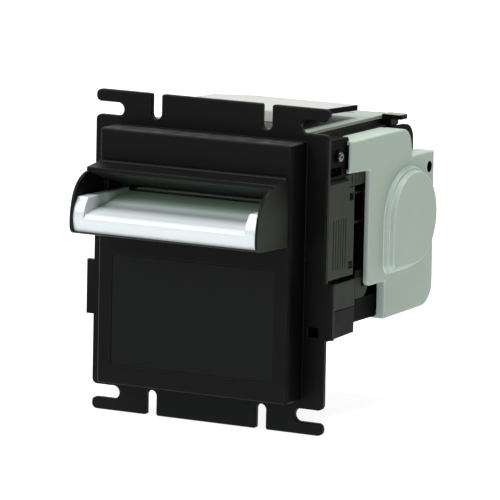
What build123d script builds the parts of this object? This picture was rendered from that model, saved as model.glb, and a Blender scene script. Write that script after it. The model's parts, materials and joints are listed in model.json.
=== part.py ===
from build123d import *
import math
import os

# Bill validator, millimetres. Origin: centre of the mounting flange's front face.
# -Y points out of the machine's door towards the user, +Y runs into the machine,
# +X is to the right as the user sees it, and +Z is up.

# ---- faceplate -------------------------------------------------------------
PLATE_W, PLATE_H, PLATE_T = 112.0, 138.4, 2.5
STUD_EDGE = 8.0                       # slot centre line to the top or bottom edge
EAR_SLOT_H, EAR_SLOT_DEEP = 5.6, 13.5
TOP_SLOT_X, TOP_SLOT_W, TOP_SLOT_DEEP = 26.6, 4.9, 10.8
TAB_OUT, TAB_LOW, TAB_HIGH = 3.5, -28.2, -4.6
FACE_HALF_W, FACE_HALF_H, FACE_Y = 46.0, 54.9, -13.4
FACE_WALL = 2.0
PORT_X, PORT_Z = (48.3, 53.4), (-27.4, -23.2)
LABEL_HALF_W, LABEL_LOW, LABEL_HIGH, LABEL_T = 39.2, -46.4, 1.5, 0.5
BOSS_R = 3.2
BOSSES = ((-40.0, -28.0), (40.0, -28.0), (-29.0, 46.0), (29.0, 46.0))

# ---- bill mouth ------------------------------------------------------------
MOUTH_HALF_W, CHEEK_T = 44.9, 1.2
MOUTH_FRONT, MOUTH_FLOOR = -40.0, 12.4
HOOD_FRONT, HOOD_TOP, HOOD_BACK_TOP = -26.2, 39.6, 41.2
HOOD_LIP = 1.8
THROAT_BACK = 1.0
NECK_HALF_W, NECK_TOP = 43.3, 36.0
TRAY_HALF_W, TRAY_LIP = 38.5, 21.6
TRAY_TOP = 28.4
TRAY_SKIN = 2.0

# ---- bill path and frame ---------------------------------------------------
PATH_FLOOR, PATH_ROOF = 27.2, 29.2
GUIDE_T = 1.5
PATH_HALF_W = 38.5
WALL_IN, WALL_OUT = 39.0, 41.0        # side plates, distance from the middle
FRAME_BACK, FRAME_LOW, FRAME_TOP = 109.0, -8.0, 50.2
FRONT_FRAME_BACK = 5.0
SKIN_X = 47.5                         # outer face of the side panels and collar
COLLAR_BACK, COLLAR_TOP, COLLAR_LOW, COLLAR_RISE = 44.8, -8.8, -33.2, 1.4
COLLAR_FLOOR = COLLAR_LOW + 3.0       # upper face of the collar's floor
BASE_LOW = -29.7
FOOT_LOW, FOOT_TOP = -28.2, -18.1     # the base's blocks under the belt guards
BRACKET_X, SCREW_Y, SCREW_Z = 48.9, 24.4, 46.0

# ---- side covers -----------------------------------------------------------
COVER_X, COVER_WALL = 50.0, 1.6
COVER_FRONT, COVER_TOP, COVER_BACK = 32.2, 51.5, 112.4
ARM_LOW, COVER_MID_FRONT, COVER_MID_LOW = 38.0, 50.7, -12.9
COVER_LEG_FRONT, COVER_LOW = 67.0, -29.3
LUG_Y, LUG_Z, LUG_HOLE_R, LUG_TOP = 106.8, 32.3, 2.6, 39.0
GEAR_Y, GEAR_Z = 86.6, 12.7           # middle of the round gear bulge
BULGE_R = 20.0
BULGE_X = (COVER_X, 51.9, 54.2)       # heights of the bulge's two steps
BULGE_OUT = ((2.2, 1.5), (0.6, 0.0))  # how far each step's foot and top lie outside BULGE_R

# ---- drive -----------------------------------------------------------------
MODULE = 0.8
PINION_TEETH, BIG_TEETH, SMALL_TEETH, SHAFT_TEETH = 10, 36, 18, 24
ROLLER_R, PINCH_R = 7.0, 5.0
SHAFT_R, PINCH_AXLE_R, BUSH_R = 2.5, 1.5, 4.2
RUN = 0.05                            # radial running clearance
NIP = 0.3                             # gap between drive and pinch rollers
ROLLER_X, ROLLER_LEN, PINCH_LEN = 22.0, 12.0, 10.0
SHAFT_Z = (PATH_FLOOR + PATH_ROOF - NIP) / 2 - ROLLER_R
PINCH_Z = SHAFT_Z + ROLLER_R + NIP + PINCH_R
FRONT_SHAFT_Y = 26.0
SHAFT_REACH = MODULE * (SMALL_TEETH + SHAFT_TEETH) / 2
REAR_SHAFT_Y = GEAR_Y - math.sqrt(SHAFT_REACH**2 - (SHAFT_Z - GEAR_Z) ** 2)
MOTOR_REACH = MODULE * (PINION_TEETH + BIG_TEETH) / 2
MOTOR_ANGLE = 225.0
MOTOR_Y = GEAR_Y + MOTOR_REACH * math.cos(math.radians(MOTOR_ANGLE))
MOTOR_Z = GEAR_Z + MOTOR_REACH * math.sin(math.radians(MOTOR_ANGLE))
MOTOR_R, MOTOR_LEN = 12.0, 38.0
PULLEY_R, FLANGE_R, BELT_T = 5.5, 7.2, 1.1
BELT_X = (42.1, 44.2)
PULLEY_X = (41.3, 45.0)
SHAFT_GEAR_X = (45.2, 47.9)
BIG_GEAR_X = (49.0, 51.8)
SHAFT_DIRECTION = math.degrees(math.atan2(SHAFT_Z - GEAR_Z, REAR_SHAFT_Y - GEAR_Y))
ENCODER_X = -43.0
FLAP_Y, FLAP_Z, FLAP_PIN_R = 93.5, 22.6, 1.2

# ---- electronics -----------------------------------------------------------
LENS_Y = (42.0, 50.0, 58.0)
BOARD_Z = -24.0

# ---- opening top cover and its latch ---------------------------------------
HINGE_Y, HINGE_Z, HINGE_R = 11.0, 48.0, 1.5
TOP_HALF_W, TOP_FRONT, TOP_BACK = 38.0, 8.4, 92.2
BAND_LOW, BAND_TOP = 52.1, 55.2
WING_X, WING_POST_X, WING_TOP = 46.7, 42.0, 56.9
TOP_T = 1.1
LID_HALF_W, LID_LENGTH, LID_T = 32.5, 53.2, 2.3
LID_BACK, LID_BACK_TOP, LID_TILT = 71.2, 61.7, 2.4
LID_FRONT = LID_BACK - LID_LENGTH * math.cos(math.radians(LID_TILT))
LID_LIP_LOW, LID_FOOT_HALF_W = 59.1, 17.0
GUIDE_HALF_W, GUIDE_BACK = 37.8, 88.0
LATCH_Y, LATCH_Z, LATCH_PIN_R = 96.0, 46.0, 1.5

os.makedirs("parts", exist_ok=True)


def slab(x0, x1, y0, y1, z0, z1):
    """A box from its lowest to its highest corner."""
    centre = Pos((x0 + x1) / 2, (y0 + y1) / 2, (z0 + z1) / 2)
    return centre * Box(x1 - x0, y1 - y0, z1 - z0)


def rod(y, z, r, x0, x1):
    """A round bar along X."""
    return Pos((x0 + x1) / 2, y, z) * Rot(0, 90, 0) * Cylinder(r, x1 - x0)


def post(x, z, r, y0, y1):
    """A round bar along Y."""
    return Pos(x, (y0 + y1) / 2, z) * Rot(90, 0, 0) * Cylinder(r, y1 - y0)


def stud(x, y, r, z0, z1):
    """A round bar along Z."""
    return Pos(x, y, (z0 + z1) / 2) * Cylinder(r, z1 - z0)


def side_prism(outline, x0, x1):
    """A side-view outline (Y across, Z up) given thickness along X."""
    return extrude(Plane.YZ.offset(x0) * outline, x1 - x0)


def poly(*points):
    """A flat face from its corner points."""
    return make_face(Polyline(*points, close=True))


def mirrored(shape):
    """The same piece on the other side of the machine."""
    return mirror(shape, about=Plane.YZ)


def both_sides(shape):
    """A piece and its mirror image in one node."""
    return shape + mirrored(shape)


def write(name, shape):
    """One STEP file per node; a group of loose solids becomes a compound."""
    solids = shape.solids()
    body = solids[0] if len(solids) == 1 else Compound(children=list(solids))
    export_step(body, f"parts/{name}.step")


def gear(teeth, y, z, phase, x0, x1, bore):
    """A spur gear about X. phase is the direction of one tooth, in degrees from +Y."""
    pitch_r = MODULE * teeth / 2
    tip_r, root_r = pitch_r + 0.8 * MODULE, pitch_r - 1.2 * MODULE
    pitch = 2 * math.pi / teeth
    points = []
    for tooth in range(teeth):
        middle = math.radians(phase) + tooth * pitch
        for radius, share in ((root_r, -0.26), (tip_r, -0.11), (tip_r, 0.11), (root_r, 0.26)):
            angle = middle + share * pitch
            points.append((y + radius * math.cos(angle), z + radius * math.sin(angle)))
    return side_prism(poly(*points), x0, x1) - rod(y, z, bore, x0 - 1, x1 + 1)


def screw(x, y, z, head_r, shank_r, length, sign):
    """A pan-head screw along X whose head stands out on the side given by sign."""
    head = rod(y, z, head_r, min(x, x + sign * 1.1), max(x, x + sign * 1.1))
    head = fillet(head.edges().filter_by(GeomType.CIRCLE).group_by(Axis.X)[-1], 0.7)
    shank = rod(y, z, shank_r, min(x, x - sign * length), max(x, x - sign * length))
    slot = slab(x + sign * 1.1 - 0.6, x + sign * 1.1 + 0.6, y - 0.3, y + 0.3, z - 1.2, z + 1.2)
    cross = slab(x + sign * 1.1 - 0.6, x + sign * 1.1 + 0.6, y - 1.2, y + 1.2, z - 0.3, z + 0.3)
    return head + shank - slot - cross


# ---- bezel -----------------------------------------------------------------
def faceplate():
    half_w, half_h = PLATE_W / 2, PLATE_H / 2
    tabs = Pos(0, (TAB_LOW + TAB_HIGH) / 2) * Rectangle(PLATE_W + 2 * TAB_OUT, TAB_HIGH - TAB_LOW)
    outline = Rectangle(PLATE_W, PLATE_H) + tabs
    slot_z = half_h - STUD_EDGE
    for side in (-1, 1):
        for end in (-1, 1):
            inner = half_w - EAR_SLOT_DEEP + EAR_SLOT_H / 2
            ear = Pos(side * (inner + 10), end * slot_z) * Rectangle(20, EAR_SLOT_H)
            outline -= ear + Pos(side * inner, end * slot_z) * Circle(EAR_SLOT_H / 2)
            round_z = half_h - TOP_SLOT_DEEP + TOP_SLOT_W / 2
            notch = Pos(side * TOP_SLOT_X, end * (round_z + 10)) * Rectangle(TOP_SLOT_W, 20)
            outline -= notch + Pos(side * TOP_SLOT_X, end * round_z) * Circle(TOP_SLOT_W / 2)
    tips = [v for v in outline.vertices() if abs(abs(v.X) - half_w) < 0.01 and abs(v.Y) > 50]
    outline = fillet(tips, 2.3)
    top = [v for v in outline.vertices() if abs(abs(v.Y) - half_h) < 0.01]
    lips = [v for v in top if abs(abs(v.X) - TOP_SLOT_X) < TOP_SLOT_W / 2 + 0.01]
    outline = fillet(lips, 0.9)
    plate = extrude(Plane.XZ * outline, -PLATE_T)
    plate = chamfer(plate.edges().group_by(Axis.Y)[0], 0.4)
    face = slab(-FACE_HALF_W, FACE_HALF_W, FACE_Y, 0, -FACE_HALF_H, FACE_HALF_H)
    front_edges = face.edges().group_by(Axis.Y)[0]
    face = fillet(front_edges + face.edges().filter_by(Axis.Y), 1.2)
    inner_w, inner_h = FACE_HALF_W - FACE_WALL, FACE_HALF_H - FACE_WALL
    hollow = slab(-inner_w, inner_w, FACE_Y + FACE_WALL, PLATE_T + 1, -inner_h, inner_h)
    shell = plate + face - hollow
    for x, z in BOSSES:
        shell += post(x, z, BOSS_R, FACE_Y + 1, PLATE_T)
        low, high = sorted((z, math.copysign(inner_h + 0.5, z)))
        shell += slab(x - 0.8, x + 0.8, FACE_Y + 1, PLATE_T, low, high)
        shell -= post(x, z, 1.1, -6, PLATE_T + 1)
    neck_w = NECK_HALF_W + 0.1
    window = slab(-neck_w, neck_w, FACE_Y - 1, FACE_Y + 3, MOUTH_FLOOR - 0.1, NECK_TOP + 0.1)
    seat = slab(
        -LABEL_HALF_W, LABEL_HALF_W, FACE_Y - 1, FACE_Y + LABEL_T, LABEL_LOW, LABEL_HIGH
    )
    shell += slab(PORT_X[0] - 0.7, PORT_X[1] + 0.9, PLATE_T, 9.0, PORT_Z[0] - 0.9, PORT_Z[1] + 0.9)
    port = slab(*PORT_X, -1, 8.2, *PORT_Z)
    return shell - window - seat - port


def label_panel():
    w = LABEL_HALF_W - 0.15
    return slab(-w, w, FACE_Y + 0.15, FACE_Y + LABEL_T, LABEL_LOW + 0.15, LABEL_HIGH - 0.15)


def cheek_outline():
    """Side view of the mouth in front of the faceplate."""
    back, low, nose = FACE_Y, MOUTH_FLOOR, MOUTH_FRONT
    lip_y, lip_z = HOOD_FRONT - 1.4, HOOD_TOP - HOOD_LIP
    bottom = Line((back, low - 0.3), (nose + 3.2, low + 0.3))
    corner = ThreePointArc((nose + 3.2, low + 0.3), (nose + 0.9, low + 1.5), (nose, low + 4.2))
    front = ThreePointArc((nose, low + 4.2), (nose + 0.2, low + 9.6), (nose + 0.9, low + 12.9))
    brow = ThreePointArc((nose + 0.9, low + 12.9), (nose + 5.0, low + 21.1), (lip_y, lip_z))
    top = Polyline(
        (lip_y, lip_z), (HOOD_FRONT, lip_z), (HOOD_FRONT, HOOD_TOP), (back, HOOD_BACK_TOP),
        (back, low - 0.3),
    )
    return make_face(bottom + corner + front + brow + top)


def mouth_shell():
    cheeks = side_prism(cheek_outline(), -MOUTH_HALF_W, MOUTH_HALF_W)
    neck = slab(-NECK_HALF_W, NECK_HALF_W, FACE_Y - 0.5, THROAT_BACK, MOUTH_FLOOR, NECK_TOP)
    inner_w = MOUTH_HALF_W - CHEEK_T
    lip_z = HOOD_TOP - HOOD_LIP
    roof = PATH_ROOF + 0.2
    floor = MOUTH_FLOOR + 1.2
    front = poly(
        (MOUTH_FRONT - 5, floor), (FACE_Y, floor), (FACE_Y, 33.6), (HOOD_FRONT, lip_z),
        (MOUTH_FRONT - 5, lip_z),
    )
    back = poly((FACE_Y - 0.1, floor), (-1.0, floor), (-1.0, roof), (FACE_Y - 0.1, 33.6))
    neck_in = NECK_HALF_W - 1.6
    cavity = side_prism(front, -inner_w, inner_w) + side_prism(back, -neck_in, neck_in)
    slot = slab(-PATH_HALF_W, PATH_HALF_W, -2, THROAT_BACK + 1, PATH_FLOOR, roof)
    groove = slab(-60, 60, FACE_Y - 1.0, FACE_Y - 0.1, HOOD_BACK_TOP - 1.4, 60)
    bead = rod(FACE_Y - 1.9, HOOD_BACK_TOP - 0.4, 0.9, -MOUTH_HALF_W, MOUTH_HALF_W)
    return cheeks + neck + bead - cavity - slot - groove


def bill_tray():
    """U-shaped entry ramp that leads a bill up into the slot."""
    w = MOUTH_HALF_W - CHEEK_T - 0.05
    low = MOUTH_FLOOR + 1.25
    nose_y = MOUTH_FRONT + 0.9
    nose = ThreePointArc(
        (nose_y + 1.6, low), (nose_y - 0.1, low + 4.5), (nose_y + 2.9, TRAY_TOP - 1.4)
    )
    body = make_face(
        nose
        + Polyline((nose_y + 2.9, TRAY_TOP - 1.4), (nose_y + 3.6, TRAY_TOP), (FACE_Y, TRAY_TOP))
        + Polyline((FACE_Y, TRAY_TOP), (FACE_Y, low), (nose_y + 1.6, low))
    )
    block = side_prism(body, -w, w)
    neck_w = NECK_HALF_W - 1.65
    block += slab(-neck_w, neck_w, FACE_Y, -1.05, low, TRAY_TOP)
    ramp = poly(
        (MOUTH_FRONT - 5, TRAY_LIP - 0.9), (nose_y + 2.4, TRAY_LIP), (-2.0, PATH_FLOOR),
        (0, PATH_FLOOR), (0, TRAY_TOP + 5), (MOUTH_FRONT - 5, TRAY_TOP + 5),
    )
    channel = side_prism(ramp, -TRAY_HALF_W, TRAY_HALF_W)
    skin = TRAY_SKIN
    under = poly(
        (nose_y + 4.6, low - 1), (nose_y + 4.6, TRAY_LIP - skin), (-3.2, PATH_FLOOR - skin),
        (-3.2, low - 1),
    )
    hollow = side_prism(under, -TRAY_HALF_W + 1, TRAY_HALF_W - 1)
    tray = block - channel - hollow
    lip = tray.edges().filter_by(Axis.X).sort_by_distance((0, nose_y + 0.6, TRAY_LIP - 0.6))[0]
    tray = fillet(lip, 2.6)
    rails = [
        edge
        for edge in tray.edges().filter_by(Axis.Y)
        if abs(edge.center().Z - TRAY_TOP) < 0.01 and edge.center().Y < FACE_Y
    ]
    return fillet(rails, 0.8)


def entry_light_board():
    return slab(-34, 34, -32, -8, MOUTH_FLOOR + 1.3, MOUTH_FLOOR + 2.7)


def entry_leds():
    lamps = Part()
    z = MOUTH_FLOOR + 2.7
    for i in range(5):
        x = (i - 2) * 14.0
        lamps += slab(x - 2.4, x + 2.4, -24, -20, z, z + 1.2) + stud(x, -22, 1.5, z + 1.2, z + 2.6)
    return lamps


# ---- frame -----------------------------------------------------------------
def front_frame():
    """Backing plate that ties the drive frame to the faceplate."""
    plate = slab(-SKIN_X, SKIN_X, PLATE_T, FRONT_FRAME_BACK, COLLAR_LOW, 49)
    plate -= slab(-PATH_HALF_W, PATH_HALF_W, PLATE_T - 1, FRONT_FRAME_BACK + 1, 24, 33)
    plate -= slab(-34, 34, PLATE_T - 1, FRONT_FRAME_BACK + 1, -24, 12)
    plate -= slab(-24, 24, PLATE_T - 1, FRONT_FRAME_BACK + 1, 42, 60)
    for x, z in BOSSES:
        plate -= post(x, z, 1.3, 0, FRONT_FRAME_BACK + 1)
    return plate


def bezel_screws():
    screws = Part()
    back = FRONT_FRAME_BACK
    for x, z in BOSSES:
        screws += post(x, z, 2.2, back, back + 1.5) + post(x, z, 1.1, -4.5, back)
        screws -= slab(x - 1.5, x + 1.5, back + 0.9, back + 2, z - 0.3, z + 0.3)
        screws -= slab(x - 0.3, x + 0.3, back + 0.9, back + 2, z - 1.5, z + 1.5)
    return screws


def side_plate():
    """Right-hand side plate: every shaft, stud and pin is held in it."""
    back_top, horn_top = 108.2, FRAME_TOP + 0.7
    outline = poly(
        (FRONT_FRAME_BACK, FRAME_LOW), (FRAME_BACK, FRAME_LOW), (FRAME_BACK, 24.0),
        (back_top, 27.0), (back_top, horn_top), (84.0, horn_top), (82.0, FRAME_TOP),
        (FRONT_FRAME_BACK, FRAME_TOP),
    )
    corner = outline.vertices().sort_by_distance((back_top, horn_top, 0))[0]
    outline = fillet(corner, 7.5)
    plate = side_prism(outline, WALL_IN, WALL_OUT)
    for y in (FRONT_SHAFT_Y, REAR_SHAFT_Y):
        plate -= rod(y, SHAFT_Z, BUSH_R, WALL_IN - 1, WALL_OUT + 1)
    for y, z, radius in (
        (MOTOR_Y, MOTOR_Z, 3.6), (GEAR_Y, GEAR_Z, 2.0),
        (HINGE_Y, HINGE_Z, HINGE_R), (LATCH_Y, LATCH_Z, LATCH_PIN_R),
    ):
        plate -= rod(y, z, radius, WALL_IN - 1, WALL_OUT + 1)
    for side in (-1, 1):
        plate -= rod(MOTOR_Y + side * 8.0, MOTOR_Z, 1.3, WALL_IN - 1, WALL_OUT + 1)
    plate -= slab(WALL_IN - 1, WALL_OUT + 1, 44, 58, 36, 45)
    plate -= slab(WALL_IN - 1, WALL_OUT + 1, 38, 58, -2, 10)
    return plate


def front_bracket():
    """Black block that joins the side plate and the front frame beside the cover arm."""
    out = BRACKET_X
    block = slab(WALL_OUT, out, FRONT_FRAME_BACK, COVER_FRONT - 0.1, 34.7, 53.6)
    block = fillet(block.edges().filter_by(Axis.Y).group_by(Axis.X)[-1], 1.0)
    block -= slab(WALL_OUT + 2, out - 2.4, 12, COVER_FRONT + 1, 36.8, 51.4)
    block -= slab(out - 0.7, out + 1, 14.0, COVER_FRONT + 1, 36.2, 51.8)
    block += rod(SCREW_Y, SCREW_Z, 3.1, out - 2.5, out - 0.2)
    block -= slab(out - 3, out + 1, 17.0, 27.0, 38.0, 41.6)
    block -= rod(HINGE_Y, HINGE_Z, 2.8, WALL_OUT - 1, WALL_OUT + 1.4)
    return block - rod(SCREW_Y, SCREW_Z, 1.25, out - 3, out + 1)


def bracket_screws():
    right = screw(BRACKET_X - 0.2, SCREW_Y, SCREW_Z, 2.1, 1.25, 4.0, 1)
    return both_sides(right)


def arm_clip():
    """Clip under the cover arm that ties the arm to the side plate."""
    clip = slab(WALL_OUT, 47.2, 36.5, 52.4, 31.6, 36.8)
    clip += slab(WALL_OUT, 47.2, 32.6, 36.6, 34.8, 36.8)
    for i in range(4):
        y = 39.0 + i * 3.2
        clip -= slab(46.8, 48, y, y + 0.8, 32.4, 36.4)
    return clip


def side_panel():
    """Thin skin over the front drive pulley, with two small service windows."""
    front, back, low, step = FRONT_FRAME_BACK, 42.0, -6.4, 36.2
    outline = poly(
        (front, low), (back, low), (back, 31.4), (step, 31.4), (step, 34.5), (front, 34.5)
    )
    panel = side_prism(outline, 45.5, SKIN_X)
    panel += slab(WALL_OUT, 45.6, front, back, low, low + 1.5)
    panel += slab(WALL_OUT, 45.6, front, step, 32.8, 34.3)
    panel = fillet(panel.edges().filter_by(Axis.Z).group_by(Axis.X)[-1].sort_by(Axis.Y)[-1], 1.0)
    for z in (-2.0, 27.4):
        panel -= slab(45, 48, 36.9, 40.5, z - 1.6, z + 1.6)
    for i in range(6):
        y = 22.4 + i * 2.2
        panel -= slab(SKIN_X - 0.35, 48, y, y + 0.7, -2.6, 19.0)
    return panel


def front_collar():
    """Open-topped tub below the bill path, behind the faceplate."""
    outline = poly(
        (FRONT_FRAME_BACK, COLLAR_LOW), (COLLAR_BACK, COLLAR_LOW + COLLAR_RISE),
        (COLLAR_BACK, COLLAR_TOP), (FRONT_FRAME_BACK, COLLAR_TOP),
    )
    outer = side_prism(outline, -SKIN_X, SKIN_X)
    outer = fillet(outer.edges().filter_by(Axis.Z).group_by(Axis.Y)[-1], 2.0)
    inner = slab(-SKIN_X + 2, SKIN_X - 2, FRONT_FRAME_BACK - 1, 60, COLLAR_FLOOR, 0)
    back = slab(-SKIN_X + 2, SKIN_X - 2, COLLAR_BACK - 2, COLLAR_BACK, COLLAR_LOW + 2, BASE_LOW)
    step = slab(SKIN_X - 0.4, 60, 0, 60, COLLAR_LOW - 1, -20.6)
    groove = slab(SKIN_X - 0.8, 60, 0, 60, -20.7, -20.1)
    return outer - inner + back - both_sides(step + groove)


def corner_guard():
    """Rounded piece behind the collar with a belt guard that rises inside the cover's edge."""
    back, low = 56.4, -17.8
    outline = poly((45.0, -5.6), (back, -5.6), (back, low), (45.0, low))
    corner = outline.vertices().sort_by_distance((back, low, 0))[0]
    outline = fillet(corner, 5.0)
    guard = side_prism(outline, WALL_OUT, 46.8)
    guard -= slab(WALL_OUT - 1, 60, COVER_MID_FRONT - 0.1, 60, COVER_MID_LOW - 0.1, 0)
    guard += slab(WALL_OUT, 47.0, 52.7, 54.3, COVER_MID_LOW - 0.2, 31.4)
    return guard - slab(WALL_OUT - 1, 45.1, 50, 56, 12, 31)


def base_housing():
    """Lower tub that carries the control board and closes the frame underneath."""
    low = BASE_LOW
    outer = slab(-WALL_OUT, WALL_OUT, COLLAR_BACK, FRAME_BACK, low, FRAME_LOW)
    outer += both_sides(slab(WALL_OUT - 0.5, 45.7, COLLAR_BACK, 66.6, FOOT_LOW, FOOT_TOP))
    inner = slab(-WALL_IN, WALL_IN, COLLAR_BACK - 1, FRAME_BACK - 2, low + 2, FRAME_LOW + 1)
    pocket = slab(WALL_OUT + 1, 44.4, COLLAR_BACK + 2, 65.2, FOOT_LOW + 2, FOOT_TOP + 1)
    pockets = both_sides(pocket)
    socket = slab(-17, 17, FRAME_BACK - 3, FRAME_BACK + 1, -22.8, -11.8)
    vents = Part()
    for i in range(6):
        x = -30 + i * 12
        vents += slab(x - 1.2, x + 1.2, 56, 96, low - 1, low + 3)
    return outer - inner - pockets - socket - vents


def rear_wall():
    wall = slab(-WALL_IN, WALL_IN, FRAME_BACK - 2.2, FRAME_BACK - 0.2, FRAME_LOW, 24.0)
    for x in (-24, 0, 24):
        wall -= slab(x - 7, x + 7, FRAME_BACK - 4, FRAME_BACK + 1, 4, 8)
    return wall


def exit_guide():
    """Fixed guide that hands the bill over to whatever is mounted behind."""
    back = 108.6
    front = 90.6
    w = WALL_IN
    low = slab(-w, w, front, back, PATH_FLOOR - GUIDE_T, PATH_FLOOR)
    high = slab(-w, w, front + 0.4, back, PATH_ROOF + 0.4, PATH_ROOF + 2.2)
    side = slab(PATH_HALF_W - 1.0, w, front + 0.4, back, PATH_FLOOR, PATH_ROOF + 1)
    guide = low + high + both_sides(side)
    for x in (-14, 14):
        guide -= slab(x - 3.2, x + 3.2, 93, back + 1, PATH_FLOOR - 4, PATH_ROOF + 4)
    return guide


# ---- side covers -----------------------------------------------------------
def cover_outline(inset):
    """Side view of a gear cover. inset moves every side inwards."""
    t = inset
    leg = COVER_LEG_FRONT + t
    back = COVER_BACK - t
    corner_r = 9.0 - t
    edge = Polyline(
        (COVER_LEG_FRONT + 14.5 - t * 0.4, COVER_TOP - t),
        (COVER_FRONT + t, COVER_TOP - t),
        (COVER_FRONT + t, ARM_LOW + t),
        (COVER_MID_FRONT + t, ARM_LOW - 0.8 + t),
        (COVER_MID_FRONT + t, COVER_MID_LOW + t),
        (leg, COVER_MID_LOW + t),
        (leg, COVER_LOW + t),
        (back - corner_r - 1.0, COVER_LOW + 0.6 + t),
    )
    low_corner = ThreePointArc(
        (back - corner_r - 1.0, COVER_LOW + 0.6 + t),
        (back - 2.6, COVER_LOW + 3.9 + t * 0.4),
        (back, COVER_LOW + 11.2),
    )
    rear = Polyline(
        (back, COVER_LOW + 11.2), (back - 1.2, LUG_TOP - t), (90.4 - t, LUG_TOP - t),
        (89.4 - t, 44.0),
    )
    top_corner = ThreePointArc(
        (89.4 - t, 44.0), (87.0 - t * 0.8, 49.3 - t * 0.5),
        (COVER_LEG_FRONT + 14.5 - t * 0.4, COVER_TOP - t),
    )
    return make_face(edge + low_corner + rear + top_corner)


def bulge_outline(inset):
    """Round gear bulge with its front lower quarter squared off for the motor pinion."""
    r = BULGE_R - inset
    half = r / 2
    square = Pos(GEAR_Y - half, GEAR_Z - half) * Rectangle(r, r)
    corner = square.vertices().sort_by_distance((GEAR_Y - r, GEAR_Z - r, 0))[0]
    return Pos(GEAR_Y, GEAR_Z) * Circle(r) + fillet(corner, max(2.6 - inset, 0.8))


def plain_cover():
    """Gear cover without the bulge: an open shell that faces the side plate."""
    outer = side_prism(cover_outline(0), WALL_OUT + 0.1, COVER_X)
    knee = outer.edges().filter_by(Axis.X).sort_by_distance(
        (COVER_X, COVER_MID_FRONT, COVER_MID_LOW)
    )[0]
    outer = fillet(knee, 3.0)
    outer = fillet(outer.edges().group_by(Axis.X)[-1], 0.9)
    inner = side_prism(cover_outline(COVER_WALL), WALL_OUT, COVER_X - COVER_WALL)
    lug = rod(LUG_Y, LUG_Z, LUG_HOLE_R + 1.8, WALL_OUT + 0.1, COVER_X - 0.5)
    flange = slab(TOP_HALF_W + 0.6, WALL_OUT + 1, COVER_FRONT, 81.0, FRAME_TOP, COVER_TOP)
    cover = outer - inner + lug + flange
    open_arm = slab(WALL_OUT, 48.9, COVER_FRONT - 1, COVER_FRONT + 2, ARM_LOW + 1.6, FRAME_TOP)
    open_mid = slab(WALL_OUT, 47.6, COVER_MID_FRONT - 1, COVER_MID_FRONT + 4, -13.4, 37.1)
    open_leg = slab(WALL_OUT, 46.0, COVER_LEG_FRONT - 1, COVER_LEG_FRONT + 2, -27.6, -13.0)
    cover -= open_arm + open_mid + open_leg
    return cover - rod(LUG_Y, LUG_Z, LUG_HOLE_R, WALL_OUT - 1, COVER_X + 1)


def right_gear_cover():
    cover = plain_cover()
    for x0, x1, (foot_out, top_out) in zip(BULGE_X, BULGE_X[1:], BULGE_OUT):
        draft = math.degrees(math.atan2(foot_out - top_out, x1 - x0))
        step = extrude(Plane.YZ.offset(x0) * bulge_outline(-foot_out), x1 - x0, taper=draft)
        cover += fillet(step.edges().group_by(Axis.X)[-1], 0.35)
    return cover - side_prism(bulge_outline(COVER_WALL), COVER_X - 3, BULGE_X[-1] - COVER_WALL)


def left_gear_cover():
    """Mirror of the right cover with three stiffening ribs in place of the bulge."""
    cover = plain_cover()
    for i in range(3):
        z = -4 + i * 12
        cover += slab(COVER_X - 0.5, COVER_X + 0.9, 62, 98, z, z + 2.4)
    return mirrored(cover)


# ---- lower guide, drive and electronics ------------------------------------
def roller_windows(z0, z1, half_len, grow):
    """Openings for the rollers in a guide."""
    holes = Part()
    for y in (FRONT_SHAFT_Y, REAR_SHAFT_Y):
        for x in (-ROLLER_X, ROLLER_X):
            holes += slab(x - half_len, x + half_len, y - grow, y + grow, z0, z1)
    return holes


def lens_set(z0, z1, grow):
    """A row of sensor windows across the bill path at each sensing station."""
    lenses = Part()
    for y in LENS_Y:
        for x in (-30.0, -10.0, 10.0, 30.0):
            lenses += slab(x - 3 - grow, x + 3 + grow, y - 1.6 - grow, y + 1.6 + grow, z0, z1)
    return lenses


def lower_guide():
    low = PATH_FLOOR - GUIDE_T
    guide = slab(-WALL_IN, WALL_IN, FRONT_FRAME_BACK, 90.2, low, PATH_FLOOR)
    guide += slab(-PATH_HALF_W, PATH_HALF_W, THROAT_BACK + 0.1, FRONT_FRAME_BACK, low, PATH_FLOOR)
    for x in (-34, 34):
        guide += slab(x - 0.8, x + 0.8, 32, 64, low - 4, low)
    guide -= roller_windows(low - 5, PATH_FLOOR + 1, ROLLER_LEN / 2 + 0.8, ROLLER_R + 0.6)
    return guide - lens_set(low - 1, PATH_FLOOR + 1, 0.1)


def lower_lenses():
    return lens_set(PATH_FLOOR - GUIDE_T - 1.0, PATH_FLOOR - 0.1, 0)


def lower_sensor_board():
    z = PATH_FLOOR - GUIDE_T - 1.0
    return slab(-33, 33, 36, 62, z - 1.6, z)


def drive_shaft(y, x0, x1):
    bar = rod(y, SHAFT_Z, SHAFT_R, x0, x1)
    return chamfer(bar.edges().filter_by(GeomType.CIRCLE), 0.4)


def drive_rollers(y):
    rollers = Part()
    for x in (-ROLLER_X, ROLLER_X):
        x0, x1 = x - ROLLER_LEN / 2, x + ROLLER_LEN / 2
        tyre = rod(y, SHAFT_Z, ROLLER_R, x0, x1)
        tyre = fillet(tyre.edges().filter_by(GeomType.CIRCLE), 0.8)
        rollers += tyre - rod(y, SHAFT_Z, SHAFT_R, x0 - 1, x1 + 1)
    return rollers


def shaft_bushes():
    bushes = Part()
    for y in (FRONT_SHAFT_Y, REAR_SHAFT_Y):
        bush = rod(y, SHAFT_Z, BUSH_R, WALL_IN - 0.8, WALL_OUT)
        bushes += both_sides(bush - rod(y, SHAFT_Z, SHAFT_R + RUN, WALL_IN - 3, WALL_OUT + 1))
    return bushes


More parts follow.
